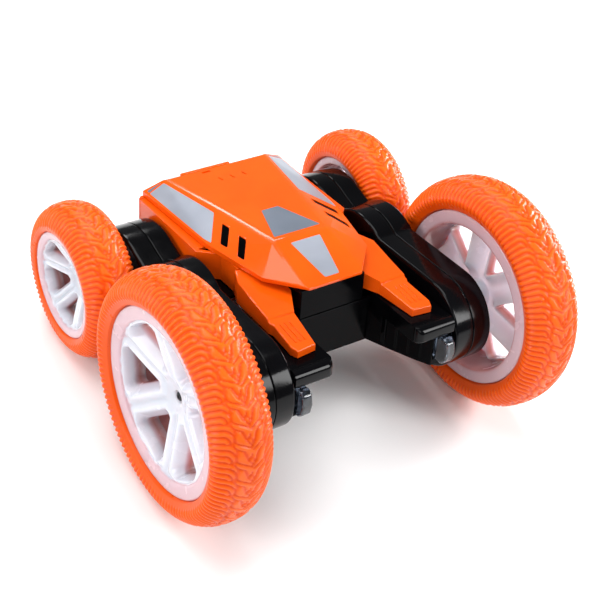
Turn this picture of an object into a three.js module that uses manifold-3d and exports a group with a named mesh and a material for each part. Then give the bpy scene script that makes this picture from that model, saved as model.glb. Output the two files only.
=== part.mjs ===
// Remote-controlled stunt car: a central body slung between two gear-case arms,
// each arm carrying a large front wheel and a small rear wheel.
// Millimetres, +Z up, the front faces -Y, the car's left side is +X.
import * as THREE from "three";
import { ConvexGeometry } from "three/addons/geometries/ConvexGeometry.js";
import { mergeVertices } from "three/addons/utils/BufferGeometryUtils.js";
import Module from "manifold-3d";

const wasm = await Module();
wasm.setup();

// ---------- driving dimensions ----------
const GAP = 0.3; // clearance between pieces that touch
const WALL = 1.5; // wall of the moulded shells

const FRONT_RADIUS = 40;
const REAR_RADIUS = FRONT_RADIUS / 1.5; // the rear wheels turn 1.5 times as fast
const AXLE_SPAN = 35; // each axle to the arm's pivot, along the arm

const FRONT_TYRE_WIDTH = 22.3;
const REAR_TYRE_WIDTH = 19.4;
const FRONT_RIM_RADIUS = 30.3;
const REAR_RIM_RADIUS = 18.3;
const FRONT_WHEEL_X = 58.4; // centre plane of a front tyre
const REAR_WHEEL_X = 55.4;

const ARM_INNER_X = 30.6;
const ARM_SEAM_X = 37.7;
const ARM_OUTER_X = 45;
const ARM_TOP = 15.5; // straight part of the case above the axle line
const PIVOT_BUMP_RADIUS = 19.2;
const REAR_BUMP = { y: 28, z: -1.5, radius: 19.5 };
const FRONT_END = { y: -39.7, z: 0, radius: ARM_TOP };

const MODULE = 1; // gear tooth size
const FRONT_GEAR_TEETH = 18;
const REAR_GEAR_TEETH = 12;
const PINION_TEETH = 10;
const GEAR_X = [35.4, 39.4];
const SHAFT_RADIUS = 1.5;

const BODY_HALF_WIDTH = 29.2;
const FLOOR_Z = -9;
const TUB_TOP_Z = 7.7;
const DECK_TOP_Z = 18.4;
const HOOD_RIM_Z = 19;
const TUB_FRONT_Y = -28.5;
const TUB_REAR_Y = 43.5;
const SHELL_REAR_Y = 46.2;
const FENDER_ROOT_Y = -8.3;
const BATTERY = { y: 25, radius: 7, halfLength: 25 };
const SWITCH = { y: -19, travel: 3, slotWidth: 3 };

const TYRE_SEGMENTS = 36;
const HUB_SEGMENTS = 30;
const SHAFT_SEGMENTS = 16;

// The axle line leans down to the smaller rear wheels.
const PITCH = Math.asin((FRONT_RADIUS - REAR_RADIUS) / (2 * AXLE_SPAN));
const PIVOT_Y = (FRONT_RADIUS - REAR_RADIUS) / 2;
const PIVOT_Z = (FRONT_RADIUS + REAR_RADIUS) / 2;

// ---------- materials ----------
function plastic(color, roughness) {
  return new THREE.MeshStandardMaterial({ color, roughness, metalness: 0 });
}
function metal(color, roughness) {
  return new THREE.MeshStandardMaterial({ color, roughness, metalness: 1 });
}
const finish = {
  orange: () => plastic(0xf25c0c, 0.25),
  black: () => plastic(0x0b0b0d, 0.15),
  tyre: () => plastic(0xf4641a, 0.45),
  hub: () => plastic(0xece6ea, 0.3),
  clear: () => plastic(0xdfe6ee, 0.05),
  led: () => plastic(0xf6f6ea, 0.3),
  gear: () => plastic(0xe8e6dc, 0.5),
  battery: () => plastic(0x2f62b0, 0.4),
  board: () => plastic(0x1d5a36, 0.5),
  bush: () => plastic(0x2a2a2e, 0.5),
  steel: () => metal(0xb9bcc0, 0.3),
  motor: () => metal(0xc2c4c8, 0.35),
};

// ---------- shapes ----------
const shapeToX = new THREE.Matrix4().makeBasis(
  new THREE.Vector3(0, 1, 0),
  new THREE.Vector3(0, 0, 1),
  new THREE.Vector3(1, 0, 0),
);
const shapeToY = new THREE.Matrix4().makeBasis(
  new THREE.Vector3(0, 0, 1),
  new THREE.Vector3(1, 0, 0),
  new THREE.Vector3(0, 1, 0),
);
const latheToX = new THREE.Matrix4().makeBasis(
  new THREE.Vector3(0, 1, 0),
  new THREE.Vector3(1, 0, 0),
  new THREE.Vector3(0, 0, -1),
);

function shapeOf(points, holes = []) {
  const shape = new THREE.Shape(points.map(([a, b]) => new THREE.Vector2(a, b)));
  shape.holes = holes.map(
    (hole) => new THREE.Path(hole.map(([a, b]) => new THREE.Vector2(a, b))),
  );
  return shape;
}

function circlePoints(radius, segments, ca = 0, cb = 0) {
  const points = [];
  for (let i = 0; i < segments; i++) {
    const t = (2 * Math.PI * i) / segments;
    points.push([ca + radius * Math.cos(t), cb + radius * Math.sin(t)]);
  }
  return points;
}

function arcPoints(circle, from, to, steps) {
  const points = [];
  for (let i = 0; i <= steps; i++) {
    const t = THREE.MathUtils.degToRad(from + ((to - from) * i) / steps);
    points.push([circle.y + circle.radius * Math.cos(t), circle.z + circle.radius * Math.sin(t)]);
  }
  return points;
}

function extrude(shape, from, to) {
  const geometry = new THREE.ExtrudeGeometry(shape, {
    depth: to - from,
    bevelEnabled: false,
    curveSegments: 12,
  });
  return geometry.translate(0, 0, from);
}

// Outlines drawn in (y, z), thick along X.
function slabX(points, x0, x1, holes = []) {
  return extrude(shapeOf(points, holes), x0, x1).applyMatrix4(shapeToX);
}
// Outlines drawn in (z, x), thick along Y.
function slabY(points, y0, y1, holes = []) {
  return extrude(shapeOf(points, holes), y0, y1).applyMatrix4(shapeToY);
}
// Outlines drawn in (x, y), thick along Z.
function slabZ(points, z0, z1, holes = []) {
  return extrude(shapeOf(points, holes), z0, z1);
}

function box(x0, x1, y0, y1, z0, z1) {
  const geometry = new THREE.BoxGeometry(x1 - x0, y1 - y0, z1 - z0);
  return geometry.translate((x0 + x1) / 2, (y0 + y1) / 2, (z0 + z1) / 2);
}

// A solid of revolution about the X axis, from a closed profile of [radius, x] points.
function turned(profile, segments, x = 0) {
  const closed = profile.map(([radius, along]) => new THREE.Vector2(radius, along));
  if (profile.every(([radius]) => radius > 0)) closed.push(closed[0].clone());
  return new THREE.LatheGeometry(closed, segments).applyMatrix4(latheToX).translate(x, 0, 0);
}

function rod(radius, x0, x1, segments = SHAFT_SEGMENTS) {
  return turned([[0, x0], [radius, x0], [radius, x1], [0, x1]], segments);
}

// ---------- joining and cutting ----------
function solid(geometry) {
  const bare = geometry.index ? geometry.toNonIndexed() : geometry.clone();
  for (const name of Object.keys(bare.attributes)) {
    if (name !== "position") bare.deleteAttribute(name);
  }
  const merged = mergeVertices(bare, 1e-4);
  return new wasm.Manifold(
    new wasm.Mesh({
      numProp: 3,
      vertProperties: merged.attributes.position.array,
      triVerts: new Uint32Array(merged.index.array),
    }),
  );
}

function geometryOf(manifold) {
  const mesh = manifold.getMesh();
  const positions = new Float32Array(mesh.numVert * 3);
  for (let i = 0; i < mesh.numVert; i++) {
    positions.set(mesh.vertProperties.subarray(i * mesh.numProp, i * mesh.numProp + 3), i * 3);
  }
  const geometry = new THREE.BufferGeometry();
  geometry.setAttribute("position", new THREE.BufferAttribute(positions, 3));
  geometry.setIndex(new THREE.BufferAttribute(mesh.triVerts, 1));
  return geometry;
}

function join(...pieces) {
  return geometryOf(pieces.map(solid).reduce((a, b) => a.add(b)));
}

function cut(base, ...tools) {
  return geometryOf(tools.map(solid).reduce((a, b) => a.subtract(b), solid(base)));
}

function common(a, b) {
  return geometryOf(solid(a).intersect(solid(b)));
}

// ---------- scene graph ----------
const car = new THREE.Group();
const body = new THREE.Group(); // leans with the axle line, its origin on the pivot axis
body.position.set(0, PIVOT_Y, PIVOT_Z);
body.rotation.x = -PITCH;
car.add(body);

function place(parent, name, geometry, material) {
  const mesh = new THREE.Mesh(geometry, material());
  mesh.name = name;
  parent.add(mesh);
  return mesh;
}

// Left and right pieces are drawn on the left and mirrored for the right.
const SIDES = [
  { name: "left", sign: 1 },
  { name: "right", sign: -1 },
];

function sideGroup(parent, side) {
  const group = new THREE.Group();
  group.scale.x = side.sign;
  parent.add(group);
  return group;
}

// ---------- body: hood ----------
const HOOD_EDGE = [
  // half width, y and z of the hood's lower edge, from the rear to the front
  [27.4, 45.6, 20.8],
  [25.7, 7, 20.8],
  [20.1, -18.4, 20.4],
  [10, -29.7, 19.8],
];
const HOOD_RIDGE = [
  // half width, y and z of the crest: rear corner, fold and front corner
  [19.5, 43.8, 24.5],
  [10.4, -9.6, 25.8],
  [11.2, -27.7, 20.4],
];

function hoodPoints(inset, drop) {
  const points = [];
  for (const sign of [1, -1]) {
    for (const [x, y, z] of [...HOOD_EDGE, ...HOOD_RIDGE]) {
      const inY = y - Math.sign(y - FENDER_ROOT_Y) * inset;
      points.push(new THREE.Vector3(sign * (x - inset), inY, z - drop));
    }
    for (const [x, y] of HOOD_EDGE) {
      const inY = y - Math.sign(y - FENDER_ROOT_Y) * inset;
      points.push(new THREE.Vector3(sign * (x - inset), inY, HOOD_RIM_Z - drop));
    }
  }
  return points;
}

function makeHood() {
  const outside = new ConvexGeometry(hoodPoints(0, 0));
  const inside = new ConvexGeometry(hoodPoints(WALL, WALL));
  place(body, "hood", cut(outside, inside), finish.orange);
}

// ---------- body: chassis and its contents ----------
const TUB_CORNER = 4;

function rectangle(halfWidth, front, rear, corner) {
  return [
    [halfWidth - corner, front],
    [halfWidth, front + corner],
    [halfWidth, rear - corner],
    [halfWidth - corner, rear],
    [corner - halfWidth, rear],
    [-halfWidth, rear - corner],
    [-halfWidth, front + corner],
    [corner - halfWidth, front],
  ];
}

const BUSH_RADIUS = 5;
const COVER = { halfWidth: 26, front: 14, rear: 36 };

function makeTub() {
  const inner = rectangle(
    BODY_HALF_WIDTH - WALL,
    TUB_FRONT_Y + WALL,
    TUB_REAR_Y - WALL,
    TUB_CORNER - WALL / 2,
  );
  const outer = rectangle(BODY_HALF_WIDTH, TUB_FRONT_Y, TUB_REAR_Y, TUB_CORNER);
  const slot = SWITCH.travel + SWITCH.slotWidth;
  const tub = cut(
    slabZ(outer, FLOOR_Z, TUB_TOP_Z),
    slabZ(inner, FLOOR_Z + WALL, TUB_TOP_Z + 1),
    rod(BUSH_RADIUS + GAP, -BODY_HALF_WIDTH - 1, BODY_HALF_WIDTH + 1),
    box(-COVER.halfWidth, COVER.halfWidth, COVER.front, COVER.rear, FLOOR_Z - 1, 0),
    box(
      -SWITCH.slotWidth / 2,
      SWITCH.slotWidth / 2,
      SWITCH.y - slot / 2,
      SWITCH.y + slot / 2,
      FLOOR_Z - 1,
      0,
    ),
  );
  place(body, "chassis_tub", tub, finish.black);
}

// The deck closes the tub: narrow between the fenders, wide under the hood.
const DECK_NOSE_HALF_WIDTH = 12.2;
const DECK_HALF_WIDTH = 21;
const DECK_REAR_Y = 43;

function deckOutline(inset) {
  const nose = DECK_NOSE_HALF_WIDTH - inset;
  const wide = DECK_HALF_WIDTH - inset;
  const front = TUB_FRONT_Y + inset;
  const shoulder = FENDER_ROOT_Y + GAP + inset;
  const rear = DECK_REAR_Y - inset;
  return [
    [-nose, front],
    [nose, front],
    [nose, shoulder],
    [wide, shoulder],
    [wide, rear],
    [-wide, rear],
    [-wide, shoulder],
    [-nose, shoulder],
  ];
}

function makeDeck() {
  const bottom = TUB_TOP_Z + GAP;
  const deck = cut(
    slabZ(deckOutline(0), bottom, DECK_TOP_Z),
    slabZ(deckOutline(WALL), bottom - 1, DECK_TOP_Z - WALL),
  );
  place(body, "chassis_deck", deck, finish.black);
}

function makeBatteryBay() {
  const battery = turned(
    [
      [0, -BATTERY.halfLength],
      [BATTERY.radius, -BATTERY.halfLength],
      [BATTERY.radius, BATTERY.halfLength],
      [BATTERY.radius / 2, BATTERY.halfLength],
      [BATTERY.radius / 2, BATTERY.halfLength + 1],
      [0, BATTERY.halfLength + 1],
    ],
    24,
  ).translate(0, BATTERY.y, 0);
  place(body, "battery_cell", battery, finish.battery);

  const inset = GAP + 0.1;
  const half = COVER.halfWidth - inset;
  const cover = box(
    -half,
    half,
    COVER.front + inset,
    COVER.rear - inset,
    FLOOR_Z,
    FLOOR_Z + WALL,
  );
  place(body, "battery_cover", cover, finish.black);
}

function makeBoard() {
  const board = join(
    box(-19, 19, 12, 40, 9, 10.4),
    box(-6, 4, 18, 28, 10.2, 12),
    box(10, 16, 30, 37, 10.2, 14),
  );
  place(body, "circuit_board", board, finish.board);
}

function makeSwitch() {
  const top = FLOOR_Z + WALL + GAP;
  const half = SWITCH.slotWidth / 2 - GAP;
  const knobY = SWITCH.y - SWITCH.travel / 2; // the off end of its slot
  const knob = join(
    box(-half, half, knobY - half, knobY + half, FLOOR_Z - 0.8, top + 0.5),
    box(-half - 1, half + 1, knobY - half - 1, knobY + half + 1, top, top + 1),
  );
  place(body, "power_switch_knob", knob, finish.black);
  const housing = box(-4, 4, SWITCH.y - 6, SWITCH.y + 6, top + 1 + GAP, top + 6);
  place(body, "power_switch_body", housing, finish.bush);
}

// ---------- body: pieces with a left and a right ----------
const MOTOR = { x0: 2.5, x1: 26.5, radius: 10, flat: 7.2 };

function makeMotor(group, side) {
  const can = common(
    rod(MOTOR.radius, MOTOR.x0, MOTOR.x1, 24),
    box(MOTOR.x0 - 1, MOTOR.x1 + 1, -MOTOR.radius - 1, MOTOR.radius + 1, -MOTOR.flat, MOTOR.flat),
  );
  place(group, side.name + "_motor", can, finish.motor);
}

const BUSH_BORE = 2;
const BUSH_FLANGE_RADIUS = 8;
const ARM_HOLE_RADIUS = BUSH_RADIUS + GAP;

// A flanged bush fixed in the tub's wall: the arm turns on it.
function makeBush(group, side) {
  const flange = ARM_INNER_X + WALL + GAP;
  const bush = turned(
    [
      [BUSH_BORE, MOTOR.x1 + GAP],
      [BUSH_RADIUS, MOTOR.x1 + GAP],
      [BUSH_RADIUS, flange],
      [BUSH_FLANGE_RADIUS, flange],
      [BUSH_FLANGE_RADIUS, flange + 1.2],
      [BUSH_BORE, flange + 1.2],
    ],
    20,
  );
  place(group, side.name + "_pivot_bush", bush, finish.bush);
}

const QUARTER_BOTTOM_Z = 9;
const QUARTER_TOP_Z = HOOD_RIM_Z - GAP;

const QUARTER_LEDGE = 1.2;

// The side of the orange shell behind the fender: a skirt that steps in at the waist,
// with a ledge along its top that runs in under the hood.
function makeQuarterPanel(group, side) {
  const out = BODY_HALF_WIDTH;
  const waist = 22.9;
  const outline = [
    [out, 44.2],
    [out, 7],
    [waist, 1.5],
    [waist, FENDER_ROOT_Y + GAP],
    [waist - WALL, FENDER_ROOT_Y + GAP],
    [waist - WALL, 2.2],
    [out - WALL, 7.6],
    [out - WALL, 44.2],
  ];
  const ledge = [
    [out - 1, 44.2],
    [out - 1, 8],
    [waist, 8],
    [waist, 44.2],
  ];
  const panel = join(
    slabZ(outline, QUARTER_BOTTOM_Z, QUARTER_TOP_Z),
    slabZ(ledge, QUARTER_TOP_Z - QUARTER_LEDGE, QUARTER_TOP_Z),
  );
  place(group, side.name + "_quarter_panel", panel, finish.orange);
}

// The forked front end: a tapering fender over a black lamp housing.
const FENDER_PLAN = [
  [12.6, FENDER_ROOT_Y],
  [24, FENDER_ROOT_Y],
  [26.4, -14],
  [26.4, -32.6],
  [25.7, -34],
  [26.4, -44.6],
  [25.4, -47],
  [18.5, -46.2],
  [16.6, -31.2],
  [12.6, -23.3],
];
const FENDER_TOP = [
  [FENDER_ROOT_Y, 18.4],
  [-14, 18.2],
  [-23.3, 16.3],
  [-31.2, 14.9],
  [-31.8, 14.1],
  [-47, 12.4],
];
const FENDER_FRONT_BOTTOM = 10;
const FENDER_ROOT_BOTTOM = 10.6;
const FENDER_SKIN = 1.6;

function makeFender(group, side) {
  const under = [
    [-48, FENDER_FRONT_BOTTOM - 0.2],
    [FENDER_ROOT_Y + 1, FENDER_ROOT_BOTTOM],
  ];
  const profile = [...FENDER_TOP, [-48, 12.3], ...under];
  const whole = common(slabX(profile, 0, 40), slabZ(FENDER_PLAN, 0, 30));
  const lowered = [...FENDER_TOP.map(([y, z]) => [y, z - FENDER_SKIN]), [-60, 10.7], [-60, 0], [20, 0]];
  const insidePlan = [
    [12.6 + FENDER_SKIN, FENDER_ROOT_Y - FENDER_SKIN],
    [23.2, FENDER_ROOT_Y - FENDER_SKIN],
    [24.8, -15],
    [24.8, -43.6],
    [19.9, -44.2],
    [18.2, -30.8],
    [12.6 + FENDER_SKIN, -22.8],
  ];
  const fender = cut(whole, common(slabX(lowered, 0, 40), slabZ(insidePlan, 0, 30)));
  place(group, side.name + "_fender", fender, finish.orange);
}

const LAMP = { inner: 15.8, outer: 30.2, top: 9.6, rear: TUB_FRONT_Y - GAP, front: -51 };
const LAMP_BOTTOM_Z = FLOOR_Z + 0.5;
const LAMP_PLAN = [
  // below its top block the housing narrows towards the front
  [14.8, LAMP.rear],
  [18.5, -38],
  [22, -46],
  [24.6, LAMP.front],
  [LAMP.outer, LAMP.front],
  [LAMP.outer, LAMP.rear],
].reverse();

function makeLampHousing(group, side) {
  const pocket = box(25.2, 29.6, LAMP.front - 1, -44, -6.4, 3.4);
  const block = box(LAMP.inner, LAMP.outer, LAMP.front, LAMP.rear, 4, LAMP.top);
  const housing = cut(join(slabZ(LAMP_PLAN, LAMP_BOTTOM_Z, 4.2), block), pocket);
  place(group, side.name + "_lamp_housing", housing, finish.black);

  const bar = slabX(
    [
      [LAMP.front - GAP, LAMP.top - 0.4],
      [-52.4, LAMP.top - 0.8],
      [-53.6, 7.6],
      [-53.8, 4.4],
      [LAMP.front - GAP, 4.2],
    ],
    16,
    LAMP.outer,
  );
  place(group, side.name + "_bumper_bar", bar, finish.black);

  const lens = slabX(
    [
      [-50, 3],
      [-54.6, 3.8],
      [-56.4, 2.6],
      [-57, -1],
      [-56.2, -4.6],
      [-54.4, -6.2],
      [-50, -6],
    ],
    25.5,
    29.3,
  );
  place(group, side.name + "_lamp_lens", lens, finish.clear);

  const led = turned([[0, -3], [2.2, -3], [2.2, 0], [1.5, 1.6], [0, 2.2]], 12)
    .rotateZ(-Math.PI / 2)
    .translate(27.4, -47.5, -1.5);
  place(group, side.name + "_led", led, finish.led);
}

function makeRearPanel() {
  const half = BODY_HALF_WIDTH;
  const panel = slabZ(
    [
      [half, 44.2 + GAP],
      [half, SHELL_REAR_Y - 1.2],
      [half - 1.2, SHELL_REAR_Y],
      [1.2 - half, SHELL_REAR_Y],
      [-half, SHELL_REAR_Y - 1.2],
      [-half, 44.2 + GAP],
    ],
    -3,
    QUARTER_TOP_Z,
  );
  place(body, "rear_panel", panel, finish.orange);
}

// ---------- arms ----------
// The case's side view is the same above and below the axle line: a bump round the
// pivot, a smaller one over the rear axle and a long straight run to a round front end.
function armOutline(inset) {
  const pivot = { y: 0, z: 0, radius: PIVOT_BUMP_RADIUS - inset };
  const rear = { ...REAR_BUMP, radius: REAR_BUMP.radius - inset };
  const front = { ...FRONT_END, radius: FRONT_END.radius - inset };
  const rearEnd = THREE.MathUtils.radToDeg(Math.asin(-rear.z / rear.radius));
  const top = [
    ...arcPoints(rear, rearEnd, 116, 9),
    ...arcPoints(pivot, 46, 126, 8),
    ...arcPoints(front, 90, 180, 7),
  ];
  const bottom = top
    .slice(1, -1)
    .reverse()
    .map(([y, z]) => [y, -z]);
  return [...top, ...bottom];
}

function makeCases(group, side) {
  const outline = armOutline(0);
  const cavity = armOutline(WALL);
  const inner = cut(
    slabX(outline, ARM_INNER_X, ARM_SEAM_X - GAP / 2),
    slabX(cavity, ARM_INNER_X + WALL, ARM_SEAM_X + 1),
    rod(ARM_HOLE_RADIUS, ARM_INNER_X - 1, ARM_INNER_X + WALL + 1, 20),
  );
  const outer = cut(
    slabX(outline, ARM_SEAM_X + GAP / 2, ARM_OUTER_X),
    slabX(cavity, ARM_SEAM_X - 1, ARM_OUTER_X - WALL),
    rod(SHAFT_RADIUS + GAP, ARM_SEAM_X, ARM_OUTER_X + 1).translate(0, -AXLE_SPAN, 0),
    rod(SHAFT_RADIUS + GAP, ARM_SEAM_X, ARM_OUTER_X + 1).translate(0, AXLE_SPAN, 0),
  );
  place(group, side.name + "_arm_inner_case", inner, finish.black);
  place(group, side.name + "_arm_outer_case", outer, finish.black);
}

// A plain gear with straight-sided teeth; phase puts a tooth at that angle.
function gear(teeth, phase, bore) {
  const pitchRadius = (MODULE * teeth) / 2;
  const tip = pitchRadius + 0.8 * MODULE;
  const root = pitchRadius - 1.1 * MODULE;
  const pitch = (2 * Math.PI) / teeth;
  const points = [];
  for (let i = 0; i < teeth; i++) {
    const middle = phase + i * pitch;
    for (const [radius, offset] of [[root, -0.25], [tip, -0.1], [tip, 0.1], [root, 0.25]]) {
      const t = middle + offset * pitch;
      points.push([radius * Math.cos(t), radius * Math.sin(t)]);
    }
  }
  const hole = bore > 0 ? [circlePoints(bore, 12)] : [];
  return slabX(points, GEAR_X[0], GEAR_X[1], hole);
}

// Phase of a gear that meshes with another: a tooth of one in a gap of the other.
function meshedPhase(teeth, otherTeeth, otherPhase, direction) {
  const other = otherTeeth * (otherPhase - direction);
  return direction + Math.PI + (Math.PI - other) / teeth;
}

function makeGears(group, side) {
  const pinionShaft = rod(SHAFT_RADIUS, MOTOR.x1 + GAP, ARM_OUTER_X - WALL - GAP);
  const pinion = join(gear(PINION_TEETH, 0, 0), pinionShaft);
  place(group, side.name + "_drive_pinion", pinion, finish.gear);

  const ends = [
    { name: "front", direction: Math.PI, teeth: FRONT_GEAR_TEETH, wheelX: FRONT_WHEEL_X },
    { name: "rear", direction: 0, teeth: REAR_GEAR_TEETH, wheelX: REAR_WHEEL_X },
  ];
  for (const end of ends) {
    const forward = Math.cos(end.direction);
    const idlerTeeth = (2 * AXLE_SPAN / MODULE - PINION_TEETH - end.teeth) / 2;
    const idlerY = (forward * MODULE * (PINION_TEETH + idlerTeeth)) / 2;
    const idlerPhase = meshedPhase(idlerTeeth, PINION_TEETH, 0, end.direction);
    const idler = gear(idlerTeeth, idlerPhase, SHAFT_RADIUS + GAP).translate(0, idlerY, 0);
    const label = side.name + "_" + end.name;
    place(group, label + "_idler_gear", idler, finish.gear);

    const pin = rod(SHAFT_RADIUS, ARM_INNER_X + WALL + GAP, ARM_OUTER_X - WALL - GAP, 12);
    place(group, label + "_idler_pin", pin.translate(0, idlerY, 0), finish.steel);

    const wheelPhase = meshedPhase(end.teeth, idlerTeeth, idlerPhase, end.direction);
    const wheelGear = gear(end.teeth, wheelPhase, SHAFT_RADIUS + GAP);
    const axleY = forward * AXLE_SPAN;
    place(group, label + "_axle_gear", wheelGear.translate(0, axleY, 0), finish.gear);

    const axle = rod(SHAFT_RADIUS, ARM_INNER_X + WALL + GAP, end.wheelX - 1);
    place(group, label + "_axle", axle.translate(0, axleY, 0), finish.steel);
  }
}

// ---------- wheels ----------
const WHEELS = [
  {
    name: "front",
    y: -AXLE_SPAN,
    x: FRONT_WHEEL_X,
    radius: FRONT_RADIUS,
    width: FRONT_TYRE_WIDTH,
    rim: FRONT_RIM_RADIUS,
    beadHalfWidth: 8.8,
    faceOut: 7.9,
    faceIn: -8.5,
  },
  {
    name: "rear",
    y: AXLE_SPAN,
    x: REAR_WHEEL_X,
    radius: REAR_RADIUS,
    width: REAR_TYRE_WIDTH,
    rim: REAR_RIM_RADIUS,
    beadHalfWidth: 9,
    faceOut: 8.4,
    faceIn: -7.8,
  },
];

const SIDEWALL_SLOPE = 0.5;
const SIDEWALL_BLEND = 20;

// A balloon tyre: its section is a rounded arch whose sidewalls draw in to the beads.
function makeTyre(group, label, wheel) {
  const bead = wheel.rim + GAP;
  const arch = 2.2;
  const profile = [];
  const steps = 16;
  for (let i = 0; i <= steps; i++) {
    const t = -Math.PI / 2 + (Math.PI * i) / steps;
    const height = (wheel.radius - bead) * (1 - Math.abs(Math.sin(t)) ** arch) ** (1 / arch);
    const x = (wheel.width / 2) * Math.sin(t);
    const sidewall = wheel.beadHalfWidth + SIDEWALL_SLOPE * height;
    const pinch = (1 + Math.abs(x / sidewall) ** SIDEWALL_BLEND) ** (-1 / SIDEWALL_BLEND);
    profile.push([bead + height, x * pinch]);
  }
  place(group, label + "_tyre", turned(profile, TYRE_SEGMENTS, wheel.x), finish.tyre);
}

const BOSS_RADIUS = 5;
const WINDOWS = 6;
const RIM_WALL = 1.7;
const FLANGE_THICKNESS = 2;

// A dished hub: a barrel between two wide flanges, a cone that sinks to the boss,
// and six windows in the cone.
function makeHub(group, label, wheel) {
  const inside = wheel.rim * 0.84;
  const well = inside + RIM_WALL;
  const bore = SHAFT_RADIUS + GAP;
  const profile = [
    [bore, wheel.faceIn - 0.5],
    [BOSS_RADIUS, wheel.faceIn - 0.5],
    [BOSS_RADIUS, -0.6],
    [inside, 4.8],
    [inside, wheel.faceIn],
    [wheel.rim, wheel.faceIn],
    [wheel.rim, wheel.faceIn + FLANGE_THICKNESS],
    [well, wheel.faceIn + FLANGE_THICKNESS],
    [well, wheel.faceOut - FLANGE_THICKNESS],
    [wheel.rim, wheel.faceOut - FLANGE_THICKNESS],
    [wheel.rim, wheel.faceOut],
    [inside, wheel.faceOut],
    [inside, 6.6],
    [BOSS_RADIUS, 1.2],
    [bore, 1.2],
  ];
  const windows = [];
  for (let i = 0; i < WINDOWS; i++) {
    const outer = wheel.rim * 0.73;
    const inner = wheel.rim * 0.33;
    const spread = 0.27;
    const window = slabX(
      [
        [inner, 0],
        [outer * Math.cos(spread), outer * Math.sin(spread)],
        [outer * Math.cos(spread), -outer * Math.sin(spread)],
      ].reverse(),
      -2,
      wheel.faceOut,
    );
    windows.push(window.rotateX((2 * Math.PI * i) / WINDOWS));
  }
  const hub = cut(turned(profile, HUB_SEGMENTS), ...windows).translate(wheel.x, 0, 0);
  place(group, label + "_hub", hub, finish.hub);

  const screw = turned(
    [
      [0, -0.7],
      [SHAFT_RADIUS, -0.7],
      [SHAFT_RADIUS, 0.5],
      [SHAFT_RADIUS - 0.3, 0.9],
      [0, 0.9],
    ],
    12,
    wheel.x,
  );
  place(group, label + "_hub_screw", screw, finish.steel);
}

// ---------- assembly ----------
makeHood();
makeTub();
makeDeck();
makeBatteryBay();
makeBoard();
makeSwitch();
makeRearPanel();
for (const side of SIDES) {
  const half = sideGroup(body, side);
  makeMotor(half, side);
  makeBush(half, side);
  makeQuarterPanel(half, side);
  makeFender(half, side);
  makeLampHousing(half, side);
  makeCases(half, side);
  makeGears(half, side);
  for (const wheel of WHEELS) {
    // A wheel stands upright, so a vertex of its round outline touches the ground.
    const hub = sideGroup(car, side);
    hub.position.y = PIVOT_Y + wheel.y * Math.cos(PITCH);
    hub.position.z = PIVOT_Z - wheel.y * Math.sin(PITCH);
    const label = side.name + "_" + wheel.name;
    makeTyre(hub, label, wheel);
    makeHub(hub, label, wheel);
  }
}

export default car;
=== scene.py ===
import math

import bmesh
import bpy
import numpy as np
from mathutils import Matrix, Vector
from mathutils.bvhtree import BVHTree


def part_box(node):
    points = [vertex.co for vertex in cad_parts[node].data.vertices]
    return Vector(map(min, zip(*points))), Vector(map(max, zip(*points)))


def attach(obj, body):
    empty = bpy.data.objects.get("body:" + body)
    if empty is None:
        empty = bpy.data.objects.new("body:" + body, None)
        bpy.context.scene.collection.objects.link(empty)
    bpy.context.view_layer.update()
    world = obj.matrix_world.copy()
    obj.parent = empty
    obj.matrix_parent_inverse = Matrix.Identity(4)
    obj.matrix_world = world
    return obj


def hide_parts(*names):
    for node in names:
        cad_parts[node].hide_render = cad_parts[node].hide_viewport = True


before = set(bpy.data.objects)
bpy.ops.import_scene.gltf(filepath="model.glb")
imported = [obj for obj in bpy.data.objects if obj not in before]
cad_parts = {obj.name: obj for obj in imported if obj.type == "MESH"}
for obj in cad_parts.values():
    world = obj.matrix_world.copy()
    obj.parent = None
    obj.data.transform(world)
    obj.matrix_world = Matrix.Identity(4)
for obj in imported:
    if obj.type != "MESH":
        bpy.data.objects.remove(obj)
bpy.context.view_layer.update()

# ---------- frames ----------
# Shapes are in millimetres. Materials, and everything from the stage on, are in metres. BODY
# takes a point of the leaning body frame, whose origin is on the pivot axis, to the row frame
# in metres.
MM = 0.001
SIDES = {"left": 1, "right": -1}
MIRROR = Matrix.Scale(-1, 4, (1, 0, 0))


def middle(node):
    low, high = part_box(node)
    return (low + high) / 2


FRONT_AXLE = middle("left_front_tyre")
REAR_AXLE = middle("left_rear_tyre")
PITCH = math.atan2(FRONT_AXLE.z - REAR_AXLE.z, REAR_AXLE.y - FRONT_AXLE.y)
PIVOT = Vector((0, (FRONT_AXLE.y + REAR_AXLE.y) / 2, (FRONT_AXLE.z + REAR_AXLE.z) / 2))
BODY = Matrix.Translation(PIVOT) @ Matrix.Rotation(-PITCH, 4, "X") @ Matrix.Scale(MM, 4)


def sided(matrix, side):
    return matrix if SIDES[side] > 0 else MIRROR @ matrix


# ---------- materials ----------
NOISE_LOW, NOISE_HIGH = 0.3, 0.7


def link(tree, source, target):
    tree.links.new(source, target)


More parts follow.
